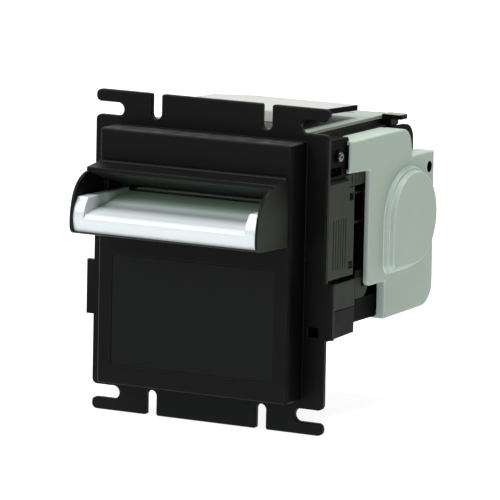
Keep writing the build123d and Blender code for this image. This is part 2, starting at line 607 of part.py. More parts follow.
def pulley(y):
    x0, x1 = PULLEY_X
    drum = rod(y, SHAFT_Z, PULLEY_R, x0, x1)
    drum += rod(y, SHAFT_Z, FLANGE_R, x0, x0 + 0.5) + rod(y, SHAFT_Z, FLANGE_R, x1 - 0.5, x1)
    return drum - rod(y, SHAFT_Z, SHAFT_R, x0 - 1, x1 + 1)


def drive_belt():
    """Flat belt round both pulleys, clear of their drums by the nip gap."""
    inner = PULLEY_R + NIP
    span = REAR_SHAFT_Y - FRONT_SHAFT_Y
    middle = (REAR_SHAFT_Y + FRONT_SHAFT_Y) / 2
    loop = SlotCenterToCenter(span, 2 * (inner + BELT_T)) - SlotCenterToCenter(span, 2 * inner)
    return side_prism(Pos(middle, SHAFT_Z) * loop, *BELT_X)


def shaft_gear():
    phase = SHAFT_DIRECTION + 180 - 180 / SHAFT_TEETH
    return gear(SHAFT_TEETH, REAR_SHAFT_Y, SHAFT_Z, phase, *SHAFT_GEAR_X, SHAFT_R)


def reduction_gear():
    """Compound gear: the motor drives its large rim, its small rim drives the shaft gear."""
    bore = 2.0 + RUN
    small = gear(SMALL_TEETH, GEAR_Y, GEAR_Z, SHAFT_DIRECTION, *SHAFT_GEAR_X, bore)
    big = gear(BIG_TEETH, GEAR_Y, GEAR_Z, MOTOR_ANGLE, *BIG_GEAR_X, bore)
    hub = rod(GEAR_Y, GEAR_Z, 5.6, SHAFT_GEAR_X[1], BIG_GEAR_X[0] + 0.1)
    hub -= rod(GEAR_Y, GEAR_Z, bore, 40, 60)
    for i in range(6):
        angle = math.radians(60 * i)
        hole = rod(
            GEAR_Y + 9.4 * math.cos(angle), GEAR_Z + 9.4 * math.sin(angle), 2.4, 48.5, 52.5
        )
        big -= hole
    return small + big + hub


def gear_stud():
    pin = rod(GEAR_Y, GEAR_Z, 2.0, WALL_IN, BIG_GEAR_X[1] + 0.5)
    return pin + rod(GEAR_Y, GEAR_Z, 3.4, WALL_OUT, WALL_OUT + 3.4)


def motor_pinion():
    phase = MOTOR_ANGLE - 180 - 180 / PINION_TEETH
    return gear(PINION_TEETH, MOTOR_Y, MOTOR_Z, phase, *BIG_GEAR_X, 1.0)


def motor_shaft():
    return rod(MOTOR_Y, MOTOR_Z, 1.0, WALL_IN - 6, BIG_GEAR_X[1] + 0.4)


def drive_motor():
    end = WALL_IN
    can = rod(MOTOR_Y, MOTOR_Z, MOTOR_R, end - MOTOR_LEN, end)
    can = fillet(can.edges().filter_by(GeomType.CIRCLE).group_by(Axis.X)[0], 1.5)
    nose = rod(MOTOR_Y, MOTOR_Z, 3.6, end - 0.1, WALL_OUT)
    tail = rod(MOTOR_Y, MOTOR_Z, 4.0, end - MOTOR_LEN - 2, end - MOTOR_LEN + 1)
    bore = rod(MOTOR_Y, MOTOR_Z, 1.0 + RUN, end - 6.4, WALL_OUT + 1)
    body = can + nose + tail - bore
    for side in (-1, 1):
        body -= rod(MOTOR_Y + side * 8.0, MOTOR_Z, 1.3, end - 4, end + 1)
    return body


def motor_screws():
    screws = Part()
    for side in (-1, 1):
        y = MOTOR_Y + side * 8.0
        head = rod(y, MOTOR_Z, 2.2, WALL_OUT, WALL_OUT + 1.2)
        head -= slab(WALL_OUT + 0.7, WALL_OUT + 2, y - 0.3, y + 0.3, MOTOR_Z - 1.5, MOTOR_Z + 1.5)
        screws += head + rod(y, MOTOR_Z, 1.3, WALL_IN - 3.8, WALL_OUT)
    return screws


def encoder_disc():
    """Slotted disc on the left end of the front shaft."""
    disc = rod(FRONT_SHAFT_Y, SHAFT_Z, 10.0, ENCODER_X - 0.6, ENCODER_X)
    disc += rod(FRONT_SHAFT_Y, SHAFT_Z, 4.2, ENCODER_X - 1.6, ENCODER_X + 0.8)
    for i in range(18):
        angle = 20.0 * i
        slit = Pos(ENCODER_X - 0.3, FRONT_SHAFT_Y, SHAFT_Z) * Rot(angle, 0, 0)
        disc -= slit * Pos(0, 8.2, 0) * Box(2, 3.0, 1.1)
    return disc - rod(FRONT_SHAFT_Y, SHAFT_Z, SHAFT_R, ENCODER_X - 3, ENCODER_X + 3)


def encoder_sensor():
    """Light gate that straddles the slotted disc."""
    y = FRONT_SHAFT_Y + 9.0
    body = slab(-45.3, -WALL_OUT, y - 3, y + 5, SHAFT_Z - 3, SHAFT_Z + 3)
    return body - slab(ENCODER_X - 1.0, ENCODER_X + 0.5, y - 4, y + 2.4, SHAFT_Z - 4, SHAFT_Z + 4)


def main_board():
    board = slab(-36, 36, 10, 105.5, BOARD_Z, BOARD_Z + 1.6)
    for x in (-33, 33):
        for y in (14, 100):
            board -= stud(x, y, 1.6, BOARD_Z - 1, BOARD_Z + 3)
    return board


def board_standoffs():
    """Pillars under the control board, each on the floor that lies below it."""
    pillars = Part()
    for x in (-33, 33):
        for y, floor in ((14, COLLAR_FLOOR), (100, BASE_LOW + 2)):
            pillars += stud(x, y, 3.0, floor, BOARD_Z) + stud(x, y, 1.5, BOARD_Z, BOARD_Z + 3.0)
    return pillars


def board_chips():
    z = BOARD_Z + 1.6
    chips = Part()
    for x, y, w, d, h in (
        (-12, 36, 14, 14, 1.6), (14, 34, 10, 7, 1.6), (-14, 60, 8, 6, 1.6), (12, 56, 12, 12, 2.0),
        (26, 84, 8, 8, 1.6),
    ):
        chips += slab(x - w / 2, x + w / 2, y - d / 2, y + d / 2, z, z + h)
    for x, y in ((-28, 46), (-28, 56), (28, 66)):
        chips += stud(x, y, 3.2, z, z + 7.5)
    return chips


def main_connector():
    """Shrouded pin header that faces out of the back of the base."""
    z = BOARD_Z + 1.6
    shroud = slab(-16, 16, 98, 110.6, z, z + 9.6) - slab(-14.6, 14.6, 101, 112, z + 1.2, z + 8.4)
    for column in range(9):
        for row in range(2):
            x, pin_z = (column - 4) * 2.54, z + 3.5 + row * 2.54
            shroud += slab(x - 0.32, x + 0.32, 100, 108.6, pin_z - 0.32, pin_z + 0.32)
    return shroud


def mode_switch():
    return slab(WALL_OUT, 44.3, 35.8, 41.4, -4.6, 0.8)


def mode_button():
    """Small service button in the lower window of the right side panel."""
    cap = slab(45.4, 47.3, 37.3, 40.1, -3.2, -0.8)
    return fillet(cap.edges().group_by(Axis.X)[-1], 0.4)


def pullback_flap():
    """Two-fingered pawl that lets a bill out backwards and stops it being pulled back."""
    hub = rod(FLAP_Y, FLAP_Z, 2.4, -20, 20)
    finger = poly((92.0, 23.4), (94.6, 20.6), (103.8, 27.2), (102.8, 28.4), (100.8, 27.8))
    flap = hub
    for x in (-14, 14):
        flap += side_prism(finger, x - 2, x + 2)
    return flap - rod(FLAP_Y, FLAP_Z, FLAP_PIN_R + RUN, -21, 21)


# ---- opening top cover -----------------------------------------------------
def upper_frame():
    """Black frame under the light cover plate; its two ears turn on the hinge pins."""
    frame = slab(-TOP_HALF_W, TOP_HALF_W, TOP_FRONT, TOP_BACK - 0.8, BAND_LOW, BAND_TOP)
    frame -= slab(-30, 30, 24, 84, BAND_LOW - 1, BAND_TOP + 1)
    ear_profile = make_face(
        Polyline((TOP_FRONT, BAND_LOW + 1), (TOP_FRONT, HINGE_Z))
        + ThreePointArc(
            (TOP_FRONT, HINGE_Z), (HINGE_Y, HINGE_Z - 3.0), (HINGE_Y + 3.0, HINGE_Z)
        )
        + Polyline(
            (HINGE_Y + 3.0, HINGE_Z), (HINGE_Y + 3.0, BAND_LOW + 1), (TOP_FRONT, BAND_LOW + 1)
        )
    )
    for x in (TOP_HALF_W - 3.0, -TOP_HALF_W):
        frame += side_prism(ear_profile, x, x + 3.0)
    wing = slab(TOP_HALF_W - 0.5, WING_X, 84.6, TOP_BACK - 0.8, WING_TOP - 2.0, WING_TOP)
    wing = fillet(wing.edges().filter_by(Axis.Z).group_by(Axis.X)[-1], 1.2)
    wing += slab(TOP_HALF_W - 0.5, WING_POST_X, 84.6, TOP_BACK - 0.8, BAND_LOW, WING_TOP)
    frame += both_sides(wing)
    return frame - rod(HINGE_Y, HINGE_Z, HINGE_R + RUN, -40, 40)


def hinge_pins():
    pin = rod(HINGE_Y, HINGE_Z, HINGE_R, 34.0, WALL_OUT)
    return both_sides(pin + rod(HINGE_Y, HINGE_Z, 2.6, WALL_OUT, WALL_OUT + 1.0))


def top_cover():
    w = TOP_HALF_W - 0.6
    plate = slab(-w, w, TOP_FRONT + 0.3, TOP_BACK, BAND_TOP, BAND_TOP + TOP_T)
    plate = fillet(plate.edges().filter_by(Axis.Z), 2.0)
    plate -= slab(-24, 24, 76, 86, BAND_TOP + TOP_T - 0.4, BAND_TOP + 3)
    rib_w = LID_HALF_W - 2
    return plate + slab(-rib_w, rib_w, LID_FRONT, LID_FRONT + 2, BAND_TOP + 1, LID_LIP_LOW - 0.4)


def tilted_lid(shape):
    """A lid piece drawn level, with its rear top edge at the origin, put in its sloping place."""
    return Pos(0, LID_BACK, LID_BACK_TOP) * Rot(-LID_TILT, 0, 0) * shape


def lid_outline(inset):
    w = LID_HALF_W - inset
    front, back = inset - LID_LENGTH, -inset
    return poly((-w, front), (w, front), (w, back), (-w + 14, back), (-w, back - 9))


def lid_base():
    """Black tray that slopes down to the rear on a narrow foot; the light plate lies in it."""
    tray = Pos(0, 0, -LID_T) * extrude(lid_outline(0), LID_T)
    tray -= slab(-50, 50, -LID_LENGTH - 1, 1.2 - LID_LENGTH, -LID_T - 1, 1)
    tray -= Pos(0, 0, -0.9) * extrude(lid_outline(0.4), 2)
    tray = tilted_lid(tray)
    low = BAND_TOP + TOP_T
    foot = slab(-LID_FOOT_HALF_W, LID_FOOT_HALF_W, 34, LID_BACK - 6, low, LID_BACK_TOP + 5)
    beyond = Pos(0, 0, -LID_T / 2) * extrude(Pos(0, -25) * Rectangle(200, 200), 40)
    return tray + (foot - tilted_lid(beyond))


def lid_plate():
    """Light plate of the lid, turned down over its front edge."""
    w = LID_HALF_W - 0.5
    plate = Pos(0, 0, -0.8) * extrude(lid_outline(0.5), 0.8)
    plate = tilted_lid(plate)
    lip = slab(-w, w, LID_FRONT, LID_FRONT + 1.0, LID_LIP_LOW, LID_BACK_TOP)
    top = Pos(0, 0, -0.4) * extrude(Pos(0, -25) * Rectangle(200, 200), 40)
    lip = slab(-w, w, LID_FRONT, LID_FRONT + 1.0, LID_LIP_LOW, 70) - tilted_lid(top)
    return plate + lip


def upper_guide():
    """Channel that hangs from the upper frame; its floor is the roof of the bill path."""
    w = GUIDE_HALF_W
    guide = slab(-w, w, TOP_FRONT, GUIDE_BACK, PATH_ROOF, BAND_LOW)
    guide -= slab(-w + 2, w - 2, TOP_FRONT + 2, GUIDE_BACK - 2, PATH_ROOF + GUIDE_T, BAND_LOW + 1)
    for x in (TOP_HALF_W - 4.2, -TOP_HALF_W - 1):
        guide -= slab(x, x + 5.2, TOP_FRONT - 1, HINGE_Y + 3.6, HINGE_Z - 3.6, BAND_LOW + 1)
    windows = roller_windows(PATH_ROOF - 1, PATH_ROOF + 3, PINCH_LEN / 2 + 0.8, PINCH_R + 0.5)
    guide -= windows + lens_set(PATH_ROOF - 1, PATH_ROOF + 3, 0.1)
    for y in (FRONT_SHAFT_Y, REAR_SHAFT_Y):
        guide -= rod(y, PINCH_Z, PINCH_AXLE_R, -40, 40)
    return guide


def upper_lenses():
    return lens_set(PATH_ROOF + 0.1, PATH_ROOF + GUIDE_T + 1.0, 0)


def upper_sensor_board():
    z = PATH_ROOF + GUIDE_T + 1.0
    return slab(-33, 33, 37, 63, z, z + 1.6)


def pinch_axles():
    axles = Part()
    for y in (FRONT_SHAFT_Y, REAR_SHAFT_Y):
        axles += rod(y, PINCH_Z, PINCH_AXLE_R, -GUIDE_HALF_W, GUIDE_HALF_W)
    return axles


def pinch_rollers(y):
    """Two rollers on one sleeve, so they turn as one."""
    sleeve = rod(y, PINCH_Z, 2.3, -ROLLER_X - 5, ROLLER_X + 5)
    for x in (-ROLLER_X, ROLLER_X):
        wheel = rod(y, PINCH_Z, PINCH_R, x - PINCH_LEN / 2, x + PINCH_LEN / 2)
        sleeve += fillet(wheel.edges().filter_by(GeomType.CIRCLE), 0.6)
    return sleeve - rod(y, PINCH_Z, PINCH_AXLE_R + RUN, -40, 40)


def cross_pins():
    """Steel pins from side plate to side plate that carry the latch and the flap."""
    latch_pin = rod(LATCH_Y, LATCH_Z, LATCH_PIN_R, -WALL_OUT, WALL_OUT)
    return latch_pin + rod(FLAP_Y, FLAP_Z, FLAP_PIN_R, -WALL_IN, WALL_IN)


# ---- latch -----------------------------------------------------------------
def cover_latch():
    """Thumb latch across the back of the top cover."""
    hub = rod(LATCH_Y, LATCH_Z, 3.2, -37.5, 37.5)
    arm = poly(
        (LATCH_Y - 2.2, LATCH_Z), (LATCH_Y + 2.4, LATCH_Z), (LATCH_Y + 3.2, 52.6),
        (LATCH_Y + 8.5, 52.9), (LATCH_Y + 8.2, 54.6), (LATCH_Y - 3.8, 54.8), (LATCH_Y - 3.8, 53.3),
        (LATCH_Y - 1.8, 52.6),
    )
    latch = hub
    for x in (-37.5, 25.5):
        latch += side_prism(arm, x, x + 12)
    latch += slab(-30, 30, LATCH_Y - 1.6, LATCH_Y + 1.6, LATCH_Z, LATCH_Z + 6)
    latch -= rod(LATCH_Y, LATCH_Z, LATCH_PIN_R + RUN, -40, 40)
    return latch - slab(-8, 8, LATCH_Y - 6, LATCH_Y + 6, LATCH_Z - 6, LATCH_Z + 4.2)


NODES = {
    "faceplate": faceplate,
    "label_panel": label_panel,
    "mouth_shell": mouth_shell,
    "bill_tray": bill_tray,
    "entry_light_board": entry_light_board,
    "entry_leds": entry_leds,
    "front_frame": front_frame,
    "bezel_screws": bezel_screws,
    "side_plates": lambda: both_sides(side_plate()),
    "front_brackets": lambda: both_sides(front_bracket()),
    "bracket_screws": bracket_screws,
    "arm_clips": lambda: both_sides(arm_clip()),
    "side_panels": lambda: both_sides(side_panel()),
    "front_collar": front_collar,
    "corner_guards": lambda: both_sides(corner_guard()),
    "base_housing": base_housing,
    "rear_wall": rear_wall,
    "exit_guide": exit_guide,
    "right_gear_cover": right_gear_cover,
    "left_gear_cover": left_gear_cover,
    "lower_guide": lower_guide,
    "lower_lenses": lower_lenses,
    "lower_sensor_board": lower_sensor_board,
    "front_drive_shaft": lambda: drive_shaft(FRONT_SHAFT_Y, -44.8, 45.1),
    "rear_drive_shaft": lambda: drive_shaft(REAR_SHAFT_Y, -43.0, 48.1),
    "front_drive_rollers": lambda: drive_rollers(FRONT_SHAFT_Y),
    "rear_drive_rollers": lambda: drive_rollers(REAR_SHAFT_Y),
    "shaft_bushes": shaft_bushes,
    "front_pulley": lambda: pulley(FRONT_SHAFT_Y),
    "rear_pulley": lambda: pulley(REAR_SHAFT_Y),
    "drive_belt": drive_belt,
    "shaft_gear": shaft_gear,
    "reduction_gear": reduction_gear,
    "gear_stud": gear_stud,
    "motor_pinion": motor_pinion,
    "motor_shaft": motor_shaft,
    "drive_motor": drive_motor,
    "motor_screws": motor_screws,
    "encoder_disc": encoder_disc,
    "encoder_sensor": encoder_sensor,
    "main_board": main_board,
    "board_standoffs": board_standoffs,
    "board_chips": board_chips,
    "main_connector": main_connector,
    "mode_switch": mode_switch,
    "mode_button": mode_button,
    "pullback_flap": pullback_flap,
    "cross_pins": cross_pins,
    "upper_frame": upper_frame,
    "hinge_pins": hinge_pins,
    "top_cover": top_cover,
    "lid_base": lid_base,
    "lid_plate": lid_plate,
    "upper_guide": upper_guide,
    "upper_lenses": upper_lenses,
    "upper_sensor_board": upper_sensor_board,
    "pinch_axles": pinch_axles,
    "front_pinch_rollers": lambda: pinch_rollers(FRONT_SHAFT_Y),
    "rear_pinch_rollers": lambda: pinch_rollers(REAR_SHAFT_Y),
    "cover_latch": cover_latch,
}

for node, build in NODES.items():
    write(node, build())
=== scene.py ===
import json
import math

import bmesh
import bpy
from mathutils import Matrix, Vector

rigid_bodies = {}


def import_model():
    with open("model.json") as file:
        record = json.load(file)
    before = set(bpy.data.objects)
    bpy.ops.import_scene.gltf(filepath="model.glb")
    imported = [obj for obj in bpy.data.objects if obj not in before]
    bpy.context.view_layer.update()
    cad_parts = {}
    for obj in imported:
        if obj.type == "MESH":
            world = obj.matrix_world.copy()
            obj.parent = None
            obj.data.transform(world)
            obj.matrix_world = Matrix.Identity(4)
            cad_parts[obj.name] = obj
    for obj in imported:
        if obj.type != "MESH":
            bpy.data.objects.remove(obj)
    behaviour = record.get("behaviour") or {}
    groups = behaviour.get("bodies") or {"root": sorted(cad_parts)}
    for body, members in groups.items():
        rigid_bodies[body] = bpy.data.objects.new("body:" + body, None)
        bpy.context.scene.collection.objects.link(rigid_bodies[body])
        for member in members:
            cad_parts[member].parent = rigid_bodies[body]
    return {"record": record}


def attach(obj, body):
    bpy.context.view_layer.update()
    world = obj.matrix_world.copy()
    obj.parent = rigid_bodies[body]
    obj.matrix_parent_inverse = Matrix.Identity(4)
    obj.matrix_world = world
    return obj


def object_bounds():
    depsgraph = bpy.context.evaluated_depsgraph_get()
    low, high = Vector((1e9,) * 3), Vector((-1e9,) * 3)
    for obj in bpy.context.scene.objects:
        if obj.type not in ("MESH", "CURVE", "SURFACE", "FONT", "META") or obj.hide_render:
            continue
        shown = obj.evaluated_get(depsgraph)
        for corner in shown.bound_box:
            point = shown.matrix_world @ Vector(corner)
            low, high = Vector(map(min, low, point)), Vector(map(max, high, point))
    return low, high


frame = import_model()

CAD_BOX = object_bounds()
MM = 0.001               # the extra pieces are drawn in mm, everything else in metres


# ---------------------------------------------------------------- materials
# Each noise is (scale, detail, roughness), and a scale of 100 gives features of about 10 mm.
MOTTLE = (55.0, 5.0, 0.65)
PATCHES = (130.0, 5.0, 0.65)
SOFT_PATCHES = (130.0, 3.0, 0.55)
SCUFFS = (300.0, 4.0, 0.7)
DUST = (420.0, 4.0, 0.75)
# Patches of the painted highlight on top of the bezel's box
BOX_TOP_HIGHLIGHT_PATCHES = (190.0, 3.0, 0.6)
GRAIN_DEPTH = 0.00005

# Centre y and z of the hole through the rear lug of each side cover, and a radius just over
# its own, so that its wall is inside; then how far the painted shade inside it takes to fade out
LUG_HOLE = (0.1068, 0.0323, 0.00275)
HOLE_FADE = 0.0001
# The colour painted inside the lug hole as shade
HOLE_PAINTED_SHADE = (0.003, 0.003, 0.003)


class Shader:
    """One material on the Principled shader, put together a step at a time."""

    def __init__(self, name):
        self.mat = bpy.data.materials.new(name)
        self.mat.use_nodes = True
        self.nodes = self.mat.node_tree.nodes
        self.links = self.mat.node_tree.links
        self.bsdf = self.nodes["Principled BSDF"]
        self.coord = self.nodes.new("ShaderNodeTexCoord").outputs["Object"]
        self.bumps = []

    def noise(self, scale, detail=3.0, roughness=0.55, stretch=None):
        """Noise in the object's own coordinates, so that it moves with the part."""
        source = self.coord
        if stretch:
            mapping = self.nodes.new("ShaderNodeMapping")
            mapping.inputs["Scale"].default_value = stretch
            self.links.new(source, mapping.inputs["Vector"])
            source = mapping.outputs["Vector"]
        node = self.nodes.new("ShaderNodeTexNoise")
        node.inputs["Scale"].default_value = scale
        node.inputs["Detail"].default_value = detail
        node.inputs["Roughness"].default_value = roughness
        self.links.new(source, node.inputs["Vector"])
        return node.outputs["Fac"]

    def ramp(self, fac, stops):
        """Colour from stops of (position, color)."""
        node = self.nodes.new("ShaderNodeValToRGB")
        elements = node.color_ramp.elements
        while len(elements) < len(stops):
            elements.new(0.5)
        for element, (position, color) in zip(elements, stops):
            element.position = position
            element.color = (*color, 1.0)
        self.links.new(fac, node.inputs["Fac"])
        return node.outputs["Color"]

    def spread(self, fac, low, high, start=0.3, end=0.7):
        """A value that goes from low to high as fac goes from start to end."""
        node = self.nodes.new("ShaderNodeMapRange")
        node.inputs["From Min"].default_value = start
        node.inputs["From Max"].default_value = end
        node.inputs["To Min"].default_value = low
        node.inputs["To Max"].default_value = high
        self.links.new(fac, node.inputs["Value"])
        return node.outputs["Result"]

    def mix(self, fac, color, over):
        """The color, with another over it where fac is 1."""
        node = self.nodes.new("ShaderNodeMix")
        node.data_type = "RGBA"
        self.links.new(color, node.inputs["A"])
        if isinstance(over, tuple):
            node.inputs["B"].default_value = (*over, 1.0)
        else:
            self.links.new(over, node.inputs["B"])
        self.links.new(fac, node.inputs["Factor"])
        return node.outputs["Result"]

    def times(self, first, second):
        node = self.nodes.new("ShaderNodeMath")
        node.operation = "MULTIPLY"
        self.links.new(first, node.inputs[0])
        self.links.new(second, node.inputs[1])
        return node.outputs["Value"]

    def soften(self, radius):
        """Round every sharp edge in the shading, and give back a mask of those edges."""
        bevel = self.nodes.new("ShaderNodeBevel")
        bevel.samples = 6
        bevel.inputs["Radius"].default_value = radius
        self.bumps.append(bevel.outputs["Normal"])
        geometry = self.nodes.new("ShaderNodeNewGeometry")
        dot = self.nodes.new("ShaderNodeVectorMath")
        dot.operation = "DOT_PRODUCT"
        self.links.new(bevel.outputs["Normal"], dot.inputs[0])
        self.links.new(geometry.outputs["Normal"], dot.inputs[1])
        return self.spread(dot.outputs["Value"], 1.0, 0.0, 0.86, 0.995)

    def along(self, axis, start, end):
        """0 to 1 along one axis of the object, between two places in metres."""
        split = self.nodes.new("ShaderNodeSeparateXYZ")
        self.links.new(self.coord, split.inputs["Vector"])
        return self.spread(split.outputs[axis], 0.0, 1.0, start, end)

    def within(self, y, z, radius):
        """1 inside a cylinder along X, 0 outside it."""
        flat = self.nodes.new("ShaderNodeVectorMath")
        flat.operation = "MULTIPLY"
        flat.inputs[1].default_value = (0.0, 1.0, 1.0)
        self.links.new(self.coord, flat.inputs[0])
        away = self.nodes.new("ShaderNodeVectorMath")
        away.operation = "DISTANCE"
        away.inputs[1].default_value = (0.0, y, z)
        self.links.new(flat.outputs["Vector"], away.inputs[0])
        return self.spread(away.outputs["Value"], 1.0, 0.0, radius, radius + HOLE_FADE)

    def facing(self, axis, start, end):
        """0 to 1 as the surface turns to face along a world axis.

        The normal is the world's, so this mask changes on a part that a pose turns.
        """
        geometry = self.nodes.new("ShaderNodeNewGeometry")
        split = self.nodes.new("ShaderNodeSeparateXYZ")
        self.links.new(geometry.outputs["True Normal"], split.inputs["Vector"])
        return self.spread(split.outputs[axis], 0.0, 1.0, start, end)

    def mottle(self, dark, light):
        """Faint flow mottling between two colours."""
        return self.ramp(self.noise(*MOTTLE), ((0.25, dark), (0.75, light)))

    def rub_and_highlight(self, color, edges, wear, low=0.0, high=0.8):
        """The color, with wear and painted highlight over it along the edges, scuffed from low
        to high.
        """
        scuffs = self.spread(self.noise(*SCUFFS), low, high)
        return self.mix(self.times(edges, scuffs), color, wear)

    def patchy(self, low, high, noise=SOFT_PATCHES):
        """Roughness that drifts between two values."""
        return self.spread(self.noise(*noise), low, high)

    def bump(self, fac, strength, distance):
        node = self.nodes.new("ShaderNodeBump")
        node.inputs["Strength"].default_value = strength
        node.inputs["Distance"].default_value = distance
        self.links.new(fac, node.inputs["Height"])
        if self.bumps:
            self.links.new(self.bumps[-1], node.inputs["Normal"])
        self.bumps.append(node.outputs["Normal"])

    def grain(self, scale, strength, roughness=0.5):
        """Fine moulded grain."""
        self.bump(self.noise(scale, 2.0, roughness), strength, GRAIN_DEPTH)

    def finish(self, color, roughness, metallic=0.0, **more):
        """Join everything to the Principled shader. More names its other sockets."""
        self.links.new(color, self.bsdf.inputs["Base Color"])
        if isinstance(roughness, float):
            self.bsdf.inputs["Roughness"].default_value = roughness
        else:
            self.links.new(roughness, self.bsdf.inputs["Roughness"])
        self.bsdf.inputs["Metallic"].default_value = metallic
        for key, value in more.items():
            self.bsdf.inputs[key.replace("_", " ")].default_value = value
        if self.bumps:
            self.links.new(self.bumps[-1], self.bsdf.inputs["Normal"])
        return self.mat


def moulded(name, dark, light, rough, grain, depth, wear=None, soft=0.0005, least=0.0,
            front=None, hole=None, **more):
    """Moulded plastic: spark-eroded grain, faint flow mottling and rubbed, rounded edges.

    The edge colour is that of the rubbed edges, and on some plastics a painted highlight on the
    ridges; least is the least of it. Front is a painted highlight colour for the faces that look
    forward. Hole is the y, z and radius of a hole painted dark inside as shade.
    """
    s = Shader(name)
    edges = s.soften(soft)
    color = s.mottle(dark, light)
    # Painted highlight: faces that look forward are lighter, as if lit from the front
    if front:
        color = s.mix(s.facing("Y", -0.2, -0.75), color, front)
    # Painted shade inside the hole
    if hole:
        color = s.mix(s.within(*hole), color, HOLE_PAINTED_SHADE)
    # Rubbed edges; with a raised least and a pale colour they are a painted highlight on the
    # ridges
    if wear:
        color = s.rub_and_highlight(color, edges, wear, least, least + 0.8)
    s.grain(grain, depth)
    return s.finish(color, s.patchy(*rough, PATCHES), **more)


def bezel_plastic():
    """Black bezel: a painted highlight on top of the box, dusty along its edges, a little paler
    at its foot.
    """
    s = Shader("bezel_black")
    edges = s.soften(0.0006)
    color = s.mottle((0.0018, 0.002, 0.0018), (0.0024, 0.0027, 0.0023))

    # Painted highlight on the upward faces of the box ahead of the flange, in patches
    ahead_of_flange = s.along("Y", -0.002, -0.003)
    box_top_highlight = s.times(ahead_of_flange, s.facing("Z", 0.5, 0.85))
    box_top_highlight = s.times(box_top_highlight, s.spread(s.noise(*BOX_TOP_HIGHLIGHT_PATCHES), 0.5, 1.0, 0.35, 0.6))
    color = s.mix(box_top_highlight, color, (0.034, 0.038, 0.033))

    foot = s.along("Z", -0.044, -0.06)
    color = s.mix(foot, color, (0.0042, 0.0052, 0.0044))

    thinner_below = s.along("Z", -0.055, 0.02)
    dust = s.times(s.spread(s.noise(*DUST), 0.1, 0.6, 0.45, 0.75), edges)
    color = s.mix(s.times(dust, thinner_below), color, (0.055, 0.06, 0.053))
    s.grain(2400.0, 0.07)
    return s.finish(color, s.patchy(0.38, 0.46, PATCHES), Specular_IOR_Level=0.06)


def mouth_plastic():
    """Black snout, greyer underneath as painted fill light, with its right cheek rubbed to a
    greenish grey.
    """
    s = Shader("mouth_black")
    edges = s.soften(0.0006)
    color = s.mottle((0.0019, 0.0022, 0.0019), (0.0026, 0.003, 0.0026))

    # Painted light: faces that look down are lighter, standing in for fill light under the hood
    underside_painted_light = s.facing("Z", -0.3, -0.8)
    color = s.mix(underside_painted_light, color, (0.019, 0.022, 0.019))

    outer_face = s.along("X", 0.0446, 0.0449)
    forward = s.along("Y", -0.0015, -0.0085)
    below_hood = s.along("Z", 0.037, 0.026)
    cheek = s.times(s.times(outer_face, forward), below_hood)
    color = s.mix(cheek, color, (0.0155, 0.0185, 0.012))

    dust = s.times(s.spread(s.noise(*DUST), 0.2, 0.9, 0.4, 0.7), edges)
    color = s.mix(dust, color, (0.045, 0.05, 0.044))
    s.grain(2400.0, 0.07)
    return s.finish(color, s.patchy(0.36, 0.44), Specular_IOR_Level=0.075)


def wing_plastic():
    """Black hinge frame with a painted highlight on the tops of its two finger wings."""
    s = Shader("wing_black")
    edges = s.soften(0.0005)
    color = s.mottle((0.0007, 0.0007, 0.0009), (0.001, 0.001, 0.0012))
    color = s.rub_and_highlight(color, edges, (0.005, 0.0055, 0.005))

    # Painted highlight on the upward tops of the wings, in patches
    wing_height = s.along("Z", 0.0545, 0.0549)
    wing_top_highlight = s.times(s.facing("Z", 0.9, 0.95), wing_height)
    highlight_tone = s.ramp(s.noise(160.0, 4.0, 0.6), (
        (0.35, (0.14, 0.14, 0.12)), (0.6, (0.24, 0.24, 0.2)),
    ))
    color = s.mix(wing_top_highlight, color, highlight_tone)
    s.grain(1800.0, 0.12)
    return s.finish(color, s.patchy(0.4, 0.48), Specular_IOR_Level=0.05)


def lower_guide_plastic():
    """Dark smooth guide whose lead-in at the entry is a paler grey."""
    s = Shader("guide_grey")
    s.soften(0.0005)
    dark = s.mottle((0.03, 0.034, 0.03), (0.036, 0.04, 0.036))
    lead_in = s.along("Y", 0.022, 0.013)
    color = s.mix(lead_in, dark, (0.15, 0.175, 0.15))
    s.grain(2400.0, 0.04)
    return s.finish(color, s.patchy(0.3, 0.36), Specular_IOR_Level=0.2)


def lit_olive_shaded_black(name, black_end, olive_end):
    """Olive above and black below, turning between two heights: painted warm light on the upper
    part and painted shade where it curves under.
    """
    s = Shader(name)
    edges = s.soften(0.0005)
    olive = s.mottle((0.023, 0.027, 0.0185), (0.029, 0.033, 0.0235))
    # Painted light and shade: olive above, black below where the part curves under
    color = s.mix(s.along("Z", olive_end, black_end), olive, (0.0022, 0.0022, 0.0028))
    color = s.rub_and_highlight(color, edges, (0.05, 0.055, 0.042), high=0.7)
    s.grain(1700.0, 0.12, 0.55)
    return s.finish(color, s.patchy(0.5, 0.58), Specular_IOR_Level=0.08)


def tray_plastic():
    """Glossy white plastic with faint flow lines, with painted shade that darkens and greens it
    towards the slot under the hood, and a painted lighter band between the lip and the slot.
    """
    s = Shader("white_tray")
    s.soften(0.0008)
    # Painted shade and light: darker and greener towards the slot under the hood, with a lighter
    # band partway
    hood_shade_ramp = s.along("Y", -0.028, -0.005)
    color = s.ramp(hood_shade_ramp, (
        (0.0, (0.46, 0.5, 0.51)), (0.13, (0.42, 0.475, 0.48)), (0.35, (0.6, 0.72, 0.69)),
        (0.52, (0.45, 0.57, 0.48)), (0.78, (0.28, 0.385, 0.295)), (1.0, (0.28, 0.41, 0.285)),
    ))
    flow = s.noise(240.0, 3.0, 0.5, (0.2, 1.0, 1.0))
    color = s.mix(s.spread(flow, 0.0, 0.06), color, (0.35, 0.42, 0.45))
    s.grain(1400.0, 0.015, 0.55)
    rough = s.spread(s.noise(120.0), 0.16, 0.22)
    return s.finish(color, rough, Coat_Weight=0.35, Coat_Roughness=0.08)


